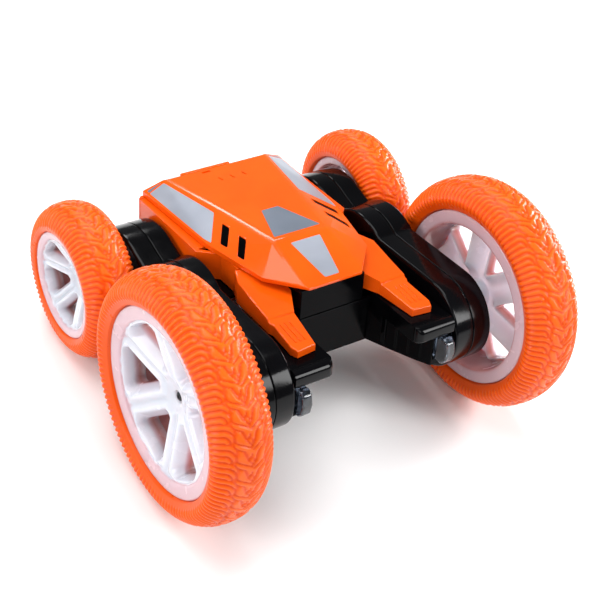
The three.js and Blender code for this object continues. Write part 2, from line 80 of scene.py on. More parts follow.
class Finish:
    """A Principled material with helpers for noise in object space."""

    def __init__(self, name, **sockets):
        self.material = bpy.data.materials.new(name)
        self.material.use_nodes = True
        self.tree = self.material.node_tree
        self.shader = self.tree.nodes["Principled BSDF"]
        for socket, value in sockets.items():
            self.shader.inputs[socket.replace("_", " ")].default_value = value
        self.place = self.tree.nodes.new("ShaderNodeTexCoord").outputs["Object"]

    def noise(self, scale, detail=3.0, roughness=0.5, stretch=None):
        source = self.place
        if stretch:
            mapping = self.tree.nodes.new("ShaderNodeMapping")
            mapping.inputs["Scale"].default_value = stretch
            link(self.tree, source, mapping.inputs["Vector"])
            source = mapping.outputs["Vector"]
        node = self.tree.nodes.new("ShaderNodeTexNoise")
        node.inputs["Scale"].default_value = scale
        node.inputs["Detail"].default_value = detail
        node.inputs["Roughness"].default_value = roughness
        link(self.tree, source, node.inputs["Vector"])
        return node.outputs["Fac"]

    def attribute(self, name):
        node = self.tree.nodes.new("ShaderNodeAttribute")
        node.attribute_name = name
        return node.outputs["Fac"]

    def ramp(self, source, stops):
        node = self.tree.nodes.new("ShaderNodeValToRGB")
        elements = node.color_ramp.elements
        while len(elements) < len(stops):
            elements.new(0.5)
        for element, (at, color) in zip(elements, stops):
            element.position = at
            element.color = (*color, 1)
        link(self.tree, source, node.inputs["Fac"])
        return node.outputs["Color"]

    def multiplied(self, first, second):
        node = self.tree.nodes.new("ShaderNodeMix")
        node.data_type = "RGBA"
        node.blend_type = "MULTIPLY"
        node.inputs["Factor"].default_value = 1.0
        for socket, value in (("A", first), ("B", second)):
            target = [i for i in node.inputs if i.name == socket and i.type == "RGBA"][0]
            link(self.tree, value, target)
        return [o for o in node.outputs if o.type == "RGBA"][0]

    def spread(self, source, low, high):
        """The usual range of a noise, stretched to run from low to high."""
        node = self.tree.nodes.new("ShaderNodeMapRange")
        for socket, value in (
            ("From Min", NOISE_LOW),
            ("From Max", NOISE_HIGH),
            ("To Min", low),
            ("To Max", high),
        ):
            node.inputs[socket].default_value = value
        link(self.tree, source, node.inputs["Value"])
        return node.outputs["Result"]

    def color(self, source):
        link(self.tree, source, self.shader.inputs["Base Color"])

    def roughness(self, source):
        link(self.tree, source, self.shader.inputs["Roughness"])

    def bump(self, height, distance):
        node = self.tree.nodes.new("ShaderNodeBump")
        node.inputs["Strength"].default_value = 1.0
        node.inputs["Distance"].default_value = distance
        link(self.tree, height, node.inputs["Height"])
        link(self.tree, node.outputs["Normal"], self.shader.inputs["Normal"])


def moulded(name, dark, light, smooth, rough, grain=0.00001, **sockets):
    """Moulded plastic: slow colour drift, smudged gloss and a faint orange-peel skin."""
    finish = Finish(name, **sockets)
    drift = finish.noise(45, 4)
    finish.color(finish.ramp(drift, [(0.32, dark), (0.68, light)]))
    finish.roughness(finish.spread(finish.noise(140, 5), smooth, rough))
    finish.bump(finish.noise(1400, 2), grain)
    return finish.material


ORANGE = moulded(
    "orange_plastic",
    (0.78, 0.081, 0.002),
    (0.84, 0.100, 0.003),
    0.12,
    0.18,
    Coat_Weight=0.25,
    Coat_Roughness=0.05,
    Specular_IOR_Level=0.2,
    Subsurface_Weight=0.06,
    Subsurface_Radius=(0.004, 0.0012, 0.0004),
    Subsurface_Scale=1.0,
)
BLACK = moulded(
    "black_plastic",
    (0.0008, 0.0008, 0.0012),
    (0.0020, 0.0020, 0.0028),
    0.09,
    0.17,
    grain=0.000006,
    IOR=1.4,
    Specular_IOR_Level=0.22,
)
# A shaded copy of the black plastic: painted shade, with a darker colour and a weaker reflection,
# for the deck, tub, hatch, lamp housings, ribs and vents.
SHADED_BLACK = moulded(
    "shaded_black_plastic",
    (0.0006, 0.0006, 0.0010),
    (0.0015, 0.0015, 0.0020),
    0.12,
    0.2,
    grain=0.000006,
    IOR=1.4,
    Specular_IOR_Level=0.06,
)
SATIN_BLACK = moulded("satin_black", (0.012, 0.012, 0.013), (0.022, 0.022, 0.024), 0.38, 0.5)
SILVER = moulded(
    "silver_decal",
    (0.36, 0.39, 0.46),
    (0.46, 0.49, 0.56),
    0.30,
    0.38,
    grain=0.000008,
    Metallic=0.55,
)
DARK_SILVER = moulded(
    "grey_decal", (0.17, 0.20, 0.25), (0.22, 0.25, 0.31), 0.3, 0.38, grain=0.000008, Metallic=0.5
)
GEAR = moulded("gear_plastic", (0.74, 0.71, 0.64), (0.82, 0.80, 0.73), 0.42, 0.55)
SLEEVE = moulded("battery_sleeve", (0.03, 0.11, 0.34), (0.05, 0.16, 0.42), 0.25, 0.4)
RESIN = moulded(
    "led_resin",
    (0.86, 0.87, 0.80),
    (0.94, 0.94, 0.88),
    0.06,
    0.12,
    Transmission_Weight=0.6,
    IOR=1.5,
)


def vinyl():
    """Soft tyre vinyl with painted shade: deeper colour in the grooves, paler on the crests."""
    finish = Finish(
        "tyre_vinyl",
        Coat_Weight=0.06,
        Coat_Roughness=0.12,
        Specular_IOR_Level=0.2,
        Subsurface_Weight=0.08,
        Subsurface_Radius=(0.003, 0.0009, 0.0003),
        Subsurface_Scale=1.0,
    )
    relief = finish.attribute("relief")
    # Painted shade and light: the relief darkens the grooves and lightens the crests.
    depth = finish.ramp(
        relief,
        [(0.0, (0.74, 0.061, 0.001)), (0.5, (0.80, 0.084, 0.002)), (1.0, (0.86, 0.124, 0.006))],
    )
    drift = finish.ramp(finish.noise(60, 4), [(0.3, (0.92, 0.88, 0.84)), (0.7, (1.0, 1.0, 1.0))])
    finish.color(finish.multiplied(depth, drift))
    finish.roughness(finish.spread(finish.noise(220, 4), 0.26, 0.38))
    finish.bump(finish.noise(900, 3), 0.00003)
    return finish.material


def milky():
    """Translucent hub plastic: white spokes, with painted light of the orange tyre tinting them
    pink to dark red near the rim and in the barrel's shade.
    """
    finish = Finish(
        "hub_plastic",
        Coat_Weight=0.3,
        Coat_Roughness=0.08,
        Subsurface_Weight=0.85,
        Subsurface_Radius=(0.010, 0.008, 0.0075),
        Subsurface_Scale=1.0,
    )
    # Painted light and shade: the attribute tints the plastic pink with the tyre's orange light,
    # dark red in the barrel.
    tint = finish.ramp(
        finish.attribute("painted_tyre_light"),
        [(0.0, (0.64, 0.66, 0.73)), (0.5, (0.63, 0.46, 0.51)), (1.0, (0.54, 0.15, 0.12))],
    )
    cloud = finish.ramp(finish.noise(90, 5), [(0.3, (0.93, 0.93, 0.94)), (0.7, (1.0, 1.0, 1.0))])
    finish.color(finish.multiplied(tint, cloud))
    finish.roughness(finish.spread(finish.noise(160, 4), 0.18, 0.30))
    finish.bump(finish.noise(500, 2), 0.00002)
    return finish.material


def clear():
    finish = Finish("clear_plastic", Transmission_Weight=0.95, IOR=1.49, Coat_Weight=0.3)
    # The clear plastic is tinted dark: painted shade for the dark seen through the lens.
    finish.color(
        finish.ramp(finish.noise(80, 2), [(0.3, (0.08, 0.10, 0.14)), (0.7, (0.14, 0.17, 0.22))])
    )
    finish.roughness(finish.spread(finish.noise(300, 3), 0.02, 0.07))
    finish.bump(finish.noise(700, 2), 0.00001)
    return finish.material


def brushed(name, color, stretch):
    """Drawn or turned metal, its scratches running along one axis."""
    finish = Finish(name, Metallic=1.0)
    lines = finish.noise(900, 4, 0.6, stretch)
    finish.color(
        finish.ramp(lines, [(0.3, tuple(c * 0.82 for c in color)), (0.7, color)])
    )
    finish.roughness(finish.spread(lines, 0.22, 0.42))
    finish.bump(lines, 0.00001)
    return finish.material


def circuit():
    finish = Finish("circuit_board")
    tracks = finish.noise(260, 1, 0.2, (1.0, 3.0, 1.0))
    finish.color(
        finish.ramp(tracks, [(0.47, (0.012, 0.085, 0.030)), (0.53, (0.03, 0.17, 0.06))])
    )
    finish.roughness(finish.spread(finish.noise(200, 3), 0.3, 0.5))
    finish.bump(tracks, 0.00004)
    return finish.material


TYRE = vinyl()
HUB = milky()
CLEAR = clear()
STEEL = brushed("steel", (0.60, 0.61, 0.63), (0.05, 1.0, 1.0))
# A dark copy of the steel for the hub screws: painted shade for their dark cross recess.
DARK_STEEL = brushed("shaded_screw_steel", (0.03, 0.03, 0.032), (1.0, 0.4, 0.4))
MOTOR_CAN = brushed("motor_steel", (0.52, 0.53, 0.55), (0.08, 1.0, 1.0))
BOARD = circuit()


# ---------- mesh helpers ----------
BROAD_FACE = 30  # square millimetres: faces larger than this meet in crisp edges
FLAT_BEND = 4  # degrees
WELD = 0.003
FLAT_ANGLE = 0.6  # degrees


def piece(name, bm, material, body, matrix=BODY, stands_for=(), sharp=32, flat=True):
    """Turns a bmesh in millimetres into a finished piece that rides on a body."""
    for face in bm.faces:
        face.smooth = True
    for edge in bm.edges:
        bend = math.degrees(edge.calc_face_angle(0))
        broad = all(f.calc_area() > BROAD_FACE for f in edge.link_faces)
        edge.smooth = bend < sharp and not (flat and broad and bend > FLAT_BEND)
    bm.transform(matrix)
    if matrix.determinant() < 0:
        bmesh.ops.reverse_faces(bm, faces=bm.faces)
    mesh = bpy.data.meshes.new(name)
    bm.to_mesh(mesh)
    bm.free()
    mesh.materials.append(material)
    obj = bpy.data.objects.new(name, mesh)
    bpy.context.scene.collection.objects.link(obj)
    if flat:
        weighted = obj.modifiers.new("even_faces", "WEIGHTED_NORMAL")
        weighted.keep_sharp = True
    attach(obj, body)
    if stands_for:
        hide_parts(*stands_for)
    return obj


def copied(node, matrix=BODY):
    """A CAD node as a clean bmesh in the given frame, its flat faces merged."""
    bm = bmesh.new()
    bm.from_mesh(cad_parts[node].data)
    bm.transform(matrix.inverted())
    bmesh.ops.remove_doubles(bm, verts=bm.verts, dist=WELD)
    bmesh.ops.dissolve_limit(
        bm, angle_limit=math.radians(FLAT_ANGLE), verts=bm.verts, edges=bm.edges
    )
    if matrix.determinant() < 0:
        bmesh.ops.reverse_faces(bm, faces=bm.faces)
    return bm


def rounded(bm, width, segments=3, angle=20, where=None):
    """Rounds the edges that turn by more than an angle, all of them or those that where picks."""
    edges = [
        e
        for e in bm.edges
        if e.is_manifold
        and e.calc_face_angle(0) > math.radians(angle)
        and (where is None or where((e.verts[0].co + e.verts[1].co) / 2, e))
    ]
    bmesh.ops.bevel(
        bm,
        geom=edges,
        offset=width,
        offset_type="OFFSET",
        segments=segments,
        profile=0.5,
        affect="EDGES",
        clamp_overlap=True,
    )
    return bm


def skin(bm, pairs):
    """Quads between each pair of rows of vertices, each row closed on itself."""
    for a, b in pairs:
        for i in range(len(a)):
            j = (i + 1) % len(a)
            bm.faces.new((a[i], a[j], b[j], b[i]))


def rings_mesh(rings, caps=True):
    """A skin over rings of points with equal counts, capped at both ends or closed on itself."""
    bm = bmesh.new()
    rows = [[bm.verts.new(p) for p in ring] for ring in rings]
    pairs = list(zip(rows, rows[1:]))
    if not caps:
        pairs.append((rows[-1], rows[0]))
    skin(bm, pairs)
    if caps:
        bm.faces.new(rows[0][::-1])
        bm.faces.new(rows[-1])
    bmesh.ops.recalc_face_normals(bm, faces=bm.faces)
    return bm


def prism(outline, low, high):
    """An outline of (x, y) points, thick along z."""
    return rings_mesh([[(x, y, level) for x, y in outline] for level in (low, high)])


def block(x, y, z):
    """A plain cutter or core between three (low, high) pairs."""
    outline = [(x[0], y[0]), (x[1], y[0]), (x[1], y[1]), (x[0], y[1])]
    return prism(outline, z[0], z[1])


def disc(profile, segments):
    """A closed solid of revolution about X from (radius, x) points, its ends near the axis."""
    turns = [2 * math.pi * i / segments for i in range(segments)]
    return rings_mesh([[(x, r * math.cos(t), r * math.sin(t)) for t in turns] for r, x in profile])


def merged(*parts):
    """Several bmeshes in one."""
    target = parts[0]
    for part in parts[1:]:
        mesh = bpy.data.meshes.new("part")
        part.to_mesh(mesh)
        part.free()
        target.from_mesh(mesh)
        bpy.data.meshes.remove(mesh)
    return target


def carved(bm, cutter, operation="DIFFERENCE"):
    """bm less the cutter, or their common part, by Blender's exact Boolean."""
    objects = []
    for source in (bm, cutter):
        mesh = bpy.data.meshes.new("carving")
        source.to_mesh(mesh)
        source.free()
        obj = bpy.data.objects.new("carving", mesh)
        bpy.context.scene.collection.objects.link(obj)
        objects.append(obj)
    modifier = objects[0].modifiers.new("carve", "BOOLEAN")
    modifier.operation = operation
    modifier.solver = "EXACT"
    modifier.object = objects[1]
    graph = bpy.context.evaluated_depsgraph_get()
    result = bmesh.new()
    result.from_mesh(bpy.data.meshes.new_from_object(objects[0].evaluated_get(graph)))
    for obj in objects:
        mesh = obj.data
        bpy.data.objects.remove(obj)
        bpy.data.meshes.remove(mesh)
    return result


# ---------- tyres ----------
WHEELS = {
    "front": dict(
        rim=30.3,
        width=22.3,
        bead_half_width=8.8,
        groups=40,
        depth=0.58,
        turn=8.0,
        crown=4.8,
        fade=14.0,
        face_out=7.9,
        face_in=-8.5,
    ),
    "rear": dict(
        rim=18.3,
        width=19.4,
        bead_half_width=9.0,
        groups=27,
        depth=0.5,
        turn=7.0,
        crown=4.2,
        fade=12.0,
        face_out=8.4,
        face_in=-7.8,
    ),
}
BEAD_GAP = 0.06
POINT_SPACING = 0.5  # along the tyre's section
STEPS_PER_GROUP = 16  # around the tyre
CREST_DEPTH = 1  # how far below the outline the pitch of the ribs is measured
RIBS = 3  # ribs in a group
ARCH = 2.2  # squareness of the tyre's section
SIDEWALL_SLOPE = 0.5
SIDEWALL_BLEND = 20
ARC_STRETCH = 1.2  # how much flatter than round the bent ribs are


def smoothstep(low, high, value):
    t = np.clip((value - low) / (high - low), 0, 1)
    return t * t * (3 - 2 * t)


def tread(s, turn, pitch, depth, wheel):
    """Height of the tread below its crests, at s across the section and turn in rib groups.

    Each shoulder carries groups of ribs. Nearer the crown the ribs of a group bend over as
    nested arcs that overlap like tiles, and blocks fill the crown between the two shoulders.
    """
    side = np.abs(s)
    along = (turn + np.where(s > 0, 0.0, 0.35)) * pitch
    first = np.floor(along / pitch)
    step = pitch / RIBS
    reach = pitch + 0.3
    arc = np.full(along.shape, np.nan)
    for k in (2, 1, 0, -1):
        ahead = (first + k) * pitch - along
        inward = np.maximum(wheel["turn"] - side, 0) * ARC_STRETCH
        distance = np.hypot(ahead, inward)
        inside = (distance < reach) & np.isnan(arc) & ((ahead > 0) | (inward > 0))
        arc = np.where(inside, distance, arc)
    crest = reach - step / 2
    ribs = 0.5 + 0.5 * np.cos(2 * np.pi * (np.nan_to_num(arc) - crest) / step)
    ribs = 1 - (1 - ribs) ** 1.5
    zigzag = 1.1 * (2 * np.abs(2 * (along / pitch % 1) - 1) - 1)
    centre_groove = 1 - smoothstep(0.12, 0.5, np.abs(s - zigzag))
    cross = (along + 0.9 * np.abs(s - zigzag)) / (pitch / 2) % 1
    cross_groove = 1 - smoothstep(0.04, 0.24, np.minimum(cross, 1 - cross))
    blocks = 1 - 0.9 * np.maximum(centre_groove, cross_groove)
    edge = wheel["crown"] + 0.5 * np.cos(2 * np.pi * along / pitch)
    in_crown = smoothstep(-0.35, 0.35, edge - side)
    ribs = np.where(np.isnan(arc), blocks, ribs)
    height = ribs * (1 - in_crown) + blocks * in_crown
    seam = 1 - smoothstep(0.15, 0.6, np.abs(edge - side))
    height = height * (1 - 0.7 * seam)
    shoulder = 1 - smoothstep(wheel["fade"] - 0.3, wheel["fade"] + 0.9, side)
    height = height * shoulder + 0.55 * (1 - shoulder)
    return depth * (height - 1), height


def section(wheel, radius, bead):
    """Even points along the tyre's arch with their outward directions."""
    t = np.linspace(-np.pi / 2, np.pi / 2, 1201)
    rise = (radius - bead) * np.clip(1 - np.abs(np.sin(t)) ** ARCH, 0, 1) ** (1 / ARCH)
    x = wheel["width"] / 2 * np.sin(t)
    sidewall = wheel["bead_half_width"] + SIDEWALL_SLOPE * rise
    x = x * (1 + np.abs(x / sidewall) ** SIDEWALL_BLEND) ** (-1 / SIDEWALL_BLEND)
    r = bead + rise
    run = np.concatenate([[0], np.cumsum(np.hypot(np.diff(x), np.diff(r)))])
    count = int(run[-1] / POINT_SPACING)
    even = np.linspace(0, run[-1], count)
    x, r = np.interp(even, run, x), np.interp(even, run, r)
    dx, dr = np.gradient(x), np.gradient(r)
    length = np.hypot(dx, dr)
    return x, r, -dr / length, dx / length, even - run[-1] / 2


def make_tyre(label, side, wheel):
    node = f"{label}_tyre"
    low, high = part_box(node)
    radius = (high.z - low.z) / 2 / MM
    bead = wheel["rim"] + BEAD_GAP
    x, r, nx, nr, s = section(wheel, radius, bead)
    around = wheel["groups"] * STEPS_PER_GROUP
    turn = np.arange(around) / around * wheel["groups"]
    pitch = 2 * np.pi * (radius - CREST_DEPTH) / wheel["groups"]
    height, relief = tread(s[:, None], turn[None, :], pitch, wheel["depth"], wheel)
    px = x[:, None] + nx[:, None] * height
    pr = np.maximum(r[:, None] + nr[:, None] * height, bead)
    angle = 2 * np.pi * np.arange(around) / around
    points = np.stack([px, pr * np.cos(angle), pr * np.sin(angle)], axis=-1)
    rows = len(s)
    index = np.arange(rows * around).reshape(rows, around)
    a, b = index[:-1], index[1:]
    quads = np.stack([a, np.roll(a, -1, 1), np.roll(b, -1, 1), b], -1).reshape(-1, 4)
    inner = np.stack([index[-1], np.roll(index[-1], -1), np.roll(index[0], -1), index[0]], -1)
    mesh = bpy.data.meshes.new(node)
    placed = points.reshape(-1, 3) * MM
    placed[:, 0] *= SIDES[side]
    placed += np.array(middle(node))
    faces = np.concatenate([quads, inner])
    if SIDES[side] < 0:
        faces = faces[:, ::-1]
    mesh.from_pydata(placed.tolist(), [], faces.tolist())
    mesh.shade_smooth()
    mesh.materials.append(TYRE)
    relief_layer = mesh.attributes.new("relief", "FLOAT", "POINT")
    relief_layer.data.foreach_set("value", relief.astype(np.float32).ravel())
    obj = bpy.data.objects.new(f"{label}_tread_tyre", mesh)
    bpy.context.scene.collection.objects.link(obj)
    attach(obj, f"{label}_wheel")
    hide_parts(node)


# ---------- hubs ----------
FRONT_RIM = WHEELS["front"]["rim"]
BIG_BOSS, SMALL_BOSS = 5.0, 4.2
CELLS = 6
CELL_TURN = {"front": math.radians(-17.5), "rear": math.radians(-35.6)}


def ray_to_lines(direction, lines):
    """Rounded distance along a direction to the nearest of some lines."""
    total = 0.0
    for normal, reach in lines:
        total += (max(normal.dot(direction), 0.0) / reach) ** 9
    return total ** (-1 / 9)


def window_lines(centre, corners):
    """Outward normals and distances of a triangle's sides, seen from the centre."""
    lines = []
    for i, a in enumerate(corners):
        b = corners[(i + 1) % 3]
        along = (b - a).normalized()
        normal = Vector((along.y, -along.x))
        reach = normal.dot(a - centre)
        if reach < 0:
            normal, reach = -normal, -reach
        lines.append((normal, reach))
    return lines


def polar(radius, angle):
    return Vector((radius * math.cos(angle), radius * math.sin(angle)))


# Across a cell, from the spoke's middle line to the window and round to the back: share of
# the way, drop below the cone, how much of the spoke's groove is there, and how pink it is
# from the tyre's painted light.
CELL_RINGS = [
    (0.00, 0.0, 1.0, 0.0),
    (0.11, 0.0, 0.85, 0.0),
    (0.22, -0.1, 0.25, 0.0),
    (0.33, -0.35, 0.0, 0.0),
    (0.45, -0.3, 0.0, 0.0),
    (0.57, 0.25, 0.0, 0.05),
    (0.69, 1.2, 0.0, 0.1),
    (0.82, 2.1, 0.0, 0.15),
    (0.94, 2.9, 0.0, 0.25),
    (1.00, 3.4, 0.0, 0.6),
    (1.00, 4.8, 0.0, 0.9),
    (0.99, 6.8, 0.0, 0.7),
    (0.93, 7.2, 0.0, 0.15),
    (0.80, 6.6, 0.0, 0.1),
    (0.55, 4.6, 0.0, 0.1),
    (0.25, 3.0, 0.0, 0.1),
    (0.00, 2.6, 0.0, 0.1),
]
GROOVE = 0.7
# Painted tint of the tyre's light: on the flange, and darker red for the shade inside the barrel.
FLANGE_PAINTED_TINT = 0.56
BARREL_PAINTED_TINT = 0.85  # inside the rim, behind the windows


def hub_mesh(wheel, turn):
    """A dished hub: alike cells round the boss, each with a window, inside a flanged barrel."""
    rim = wheel["rim"]
    ratio = rim / FRONT_RIM
    flange = rim * 0.84
    boss = BIG_BOSS if rim == FRONT_RIM else SMALL_BOSS
    shallower = min(1.0, 0.35 + ratio * 0.65)  # a smaller hub is dished less
    face, back = wheel["face_out"], wheel["face_in"]
    rim_x = face - 1.3

    def cone(radius):
        share = max(0.0, min(1.0, (radius - boss) / (flange - boss)))
        return 1.5 + (rim_x - 1.5) * share**0.9

    outer_angles = [math.radians(-30 + 60 * i / 14) for i in range(15)]
    inner_angles = [math.radians(30 - 60 * i / 6) for i in range(7)]
    radii = [flange + (boss - flange) * i / 14 for i in range(15)]
    outline = [(polar(flange, a), 0.0) for a in outer_angles[:-1]]
    outline += [(polar(r, math.radians(30)), 1.0) for r in radii[:-1]]
    outline += [(polar(boss, a), 0.0) for a in inner_angles[:-1]]
    outline += [(polar(r, math.radians(-30)), 1.0) for r in reversed(radii[1:])]
    corners = [
        polar(rim * 0.35, 0),
        polar(rim * 0.81, math.radians(17)),
        polar(rim * 0.81, math.radians(-17)),
    ]
    centre = polar(rim * 0.62, 0)
    lines = window_lines(centre, corners)
    bm = bmesh.new()
    pink = bm.verts.layers.float.new("painted_tyre_light")
    for cell in range(CELLS):
        spin = Matrix.Rotation(2 * math.pi * cell / CELLS + turn, 2)
        rows = []
        for share, drop, groove, painted_tyre_light in CELL_RINGS:
            row = []
            for edge, is_spoke in outline:
                direction = (edge - centre).normalized()
                window = centre + direction * ray_to_lines(direction, lines)
                flat = edge.lerp(window, share)
                radius = flat.length
                soft = min(1.0, (flange - radius) / (3 * ratio))
                soft *= min(1.0, (radius - boss) / 3)
                level = cone(radius) - drop * shallower
                level -= GROOVE * groove * is_spoke * max(0.0, soft)
                spot = spin @ flat
                row.append(bm.verts.new((level, spot.x, spot.y)))
                row[-1][pink] = painted_tyre_light
            rows.append(row)
        skin(bm, zip(rows, rows[1:]))
    bmesh.ops.remove_doubles(bm, verts=bm.verts, dist=0.01)
    for profile, angles, painted_tyre_light in (
        (
            [
                (flange, cone(flange)),
                (flange + 0.15, face - 0.75),
                (flange + 0.6, face - 0.42),
                (rim - 1.2, face - 0.05),
                (rim - 0.45, face),
                (rim - 0.1, face - 0.3),
                (rim, face - 0.8),
                (rim, back + 0.8),
                (rim - 0.2, back + 0.2),
                (rim - 0.8, back),
                (flange + 0.8, back),
                (flange + 0.2, back + 0.2),
                (flange, back + 0.7),
                (flange, cone(flange) - 4),
                (flange, cone(flange) - 2.6 * shallower),
            ],
            outer_angles,
            FLANGE_PAINTED_TINT,
        ),
        (
            [
                (boss, cone(boss)),
                (boss * 0.86, 1.35),
                (boss * 0.66, 1.15),
                (2.35, 1.1),
                (1.95, 0.9),
                (1.85, 0.4),
                (1.85, back - 0.4),
                (2.2, back - 0.5),
                (boss - 0.4, back - 0.5),
                (boss, back - 0.1),
                (boss, cone(boss) - 3.4),
                (boss, cone(boss) - 2.6 * shallower),
            ],
            inner_angles,
            0.05,
        ),
    ):
        around = [
            2 * math.pi * cell / CELLS + turn + a
            for cell in range(CELLS)
            for a in sorted(angles)[:-1]
        ]
        rows = [
            [bm.verts.new((level, radius * math.cos(a), radius * math.sin(a))) for a in around]
            for radius, level in profile
        ]
        for (radius, level), row in zip(profile, rows):
            # The barrel behind the windows gets the darker painted tint, for the shade in there.
            in_barrel = painted_tyre_light == FLANGE_PAINTED_TINT and radius < flange + 0.3 and level < cone(flange) - 2
            for vertex in row:
                vertex[pink] = BARREL_PAINTED_TINT if in_barrel else painted_tyre_light
        skin(bm, zip(rows, rows[1:]))
    bmesh.ops.remove_doubles(bm, verts=bm.verts, dist=0.01)
    bmesh.ops.recalc_face_normals(bm, faces=bm.faces)
    return bm


def wheel_frame(label, side):
    return Matrix.Translation(middle(f"{label}_tyre")) @ sided(Matrix.Scale(MM, 4), side)


def make_hub(label, side, wheel, turn):
    obj = piece(
        f"{label}_spoked_hub",
        hub_mesh(wheel, turn),
        HUB,
        f"{label}_wheel",
        matrix=wheel_frame(label, side),
        stands_for=[f"{label}_hub"],
        sharp=75,
        flat=False,
    )
    finer = obj.modifiers.new("finer", "SUBSURF")
    finer.levels = 1
    finer.render_levels = 1


def make_hub_screw(label, side):
    head = disc(
        [(1.2, -0.7), (1.5, -0.65), (1.5, 0.35), (1.38, 0.7), (1.05, 0.9), (0.5, 0.96)],
        32,
    )
    cross = carved(
        block((0.3, 1.4), (-0.85, 0.85), (-0.2, 0.2)),
        block((0.3, 1.4), (-0.2, 0.2), (-0.85, 0.85)),
        "UNION",
    )
    piece(
        f"{label}_cross_screw",
        carved(head, cross),
        DARK_STEEL,
        f"{label}_wheel",
        matrix=wheel_frame(label, side),
        stands_for=[f"{label}_hub_screw"],
    )


# ---------- hood ----------
# Corners of the hood's left half: along its outer edge, and along its ridge.
HOOD_EDGE = [(27.4, 45.6, 20.8), (25.7, 7, 20.8), (20.1, -18.4, 20.4), (10, -29.7, 19.8)]
HOOD_RIDGE = [(19.5, 43.8, 24.5), (10.4, -9.6, 25.8), (11.2, -27.7, 20.4)]
HOOD_RIM_Z = 19
HOOD_FOLD_Y = -8.3
HULL_FLAT_ANGLE = 1.5  # degrees
WALL = 1.5
ABOVE = 40  # clear above the hood
UNDER_TOP = 15  # inside the body, below every wall of the hood
RIDGE_CHAMFER = 1.05
EDGE_ROUND = 0.35
REAR_NOTCH = [(-6.9, 40.7), (-3.6, 40.7), (-3.6, 41.7), (-6.9, 41.7)]
NOTCH_MIDDLE = (-5.2, 41.2)
NOTCH_DEPTH = 0.9
REAR_LIP = ((-14.0, 5.2), (42.9, 44.0), (23.8, 24.8))


def hood_hull(inset, drop):
    """The hood's solid form, each corner moved in by the inset and down by the drop."""
    rim = [(x, y, HOOD_RIM_Z) for x, y, _ in HOOD_EDGE]
    bm = bmesh.new()
    for sign in (1, -1):
        for x, y, z in HOOD_EDGE + HOOD_RIDGE + rim:
            y_in = y - math.copysign(inset, y - HOOD_FOLD_Y)
            bm.verts.new((sign * (x - inset), y_in, z - drop))
    bmesh.ops.convex_hull(bm, input=bm.verts)
    bmesh.ops.dissolve_limit(
        bm, angle_limit=math.radians(HULL_FLAT_ANGLE), verts=bm.verts, edges=bm.edges
    )
    bmesh.ops.recalc_face_normals(bm, faces=bm.faces)
    return bm


# Vents in the hood's flanks and marks on its top, as (x, y) outlines of the left side.
VENTS = [
    [(17.3, 10.6), (16.8, 7.0), (21.8, -0.1), (22.6, 2.9)],
    [(16.4, 1.7), (15.9, -1.8), (20.6, -8.3), (21.3, -5.4)],
]
VENT_CORNER = 0.7
# Growth of the outline and lift off the hood, for each ring of a vent's lip.
VENT_LIP = [(0.45, -0.1), (0.42, 0.05), (0.25, 0.1), (0.05, 0.08), (0.0, -0.1)]
RELIEF_GROWTH = 1.4
RELIEF_DEPTH = -0.5
TOP_DASHES = [(-3.5, 34.6), (1.0, 34.3), (5.7, 34.4)]
DASH = [(-0.55, 1.2), (0, 1.2), (0.55, -1.2), (0, -1.2)]


def dropped(tree, x, y, lift):
    """The point at (x, y) lifted off the surface below, along its normal."""
    hit, normal, _, _ = tree.ray_cast(Vector((x, y, 60)), Vector((0, 0, -1)))
    return hit + normal * lift


def rounded_outline(points, radius, steps=3):
    """An outline with its corners cut by short arcs."""
    made = []
    n = len(points)
    for i, p in enumerate(points):
        p = Vector(p)
        before = Vector(points[i - 1])
        after = Vector(points[(i + 1) % n])
        reach = min(radius, (before - p).length / 2.2, (after - p).length / 2.2)
        a = p + (before - p).normalized() * reach
        b = p + (after - p).normalized() * reach
        for k in range(steps + 1):
            t = k / steps
            made.append(tuple((a.lerp(p, t)).lerp(p.lerp(b, t), t)))
    return made


SHEET_EDGE = 1.4  # longest edge in a sheet's mesh
SHEET_THICKNESS = 0.12


def outline_middle(outline):
    return sum((Vector(p) for p in outline), Vector((0, 0))) / len(outline)


def decal(name, tree, outline, material, corner=0.5, lift=0.07):
    """A thin sheet that follows the surface below its outline."""
    bm = bmesh.new()
    face = bm.faces.new([bm.verts.new((x, y, 0)) for x, y in rounded_outline(outline, corner)])
    bmesh.ops.triangulate(bm, faces=[face])
    for _ in range(4):
        long_edges = [e for e in bm.edges if e.calc_length() > SHEET_EDGE]
        if long_edges:
            bmesh.ops.subdivide_edges(bm, edges=long_edges, cuts=1, use_grid_fill=False)
            bmesh.ops.triangulate(bm, faces=bm.faces)
    for v in bm.verts:
        v.co = dropped(tree, v.co.x, v.co.y, lift)
    for f in bm.faces:
        f.normal_update()
    if sum(f.normal.z for f in bm.faces) < 0:
        bmesh.ops.reverse_faces(bm, faces=bm.faces)
    skirt = bmesh.ops.extrude_face_region(bm, geom=bm.faces[:])
    top = {g for g in skirt["geom"] if isinstance(g, bmesh.types.BMVert)}
    for v in set(bm.verts) - top:
        v.co.z -= SHEET_THICKNESS
    bmesh.ops.recalc_face_normals(bm, faces=bm.faces)
    piece(name, bm, material, "car_body", sharp=50, flat=False)


def grown(outline, distance):
    """A vent's rounded outline, each point moved away from its middle."""
    centre = outline_middle(outline)
    made = []
    for p in rounded_outline(outline, VENT_CORNER):
        p = Vector(p)
        made.append(p + (p - centre).normalized() * distance)
    return made


def vent_frame(tree, outline):
    """A low raised lip round a vent."""
    rings = []
    for grow, lift in VENT_LIP:
        rings.append([dropped(tree, q.x, q.y, lift) for q in grown(outline, grow)])
    return rings_mesh(rings, caps=False)


def vent_relief(tree, outline):
    """Cuts the wall thin from below round a vent."""
    wide = grown(outline, RELIEF_GROWTH)
    top = [dropped(tree, q.x, q.y, RELIEF_DEPTH) for q in wide]
    return rings_mesh([[(q.x, q.y, UNDER_TOP) for q in wide], top])


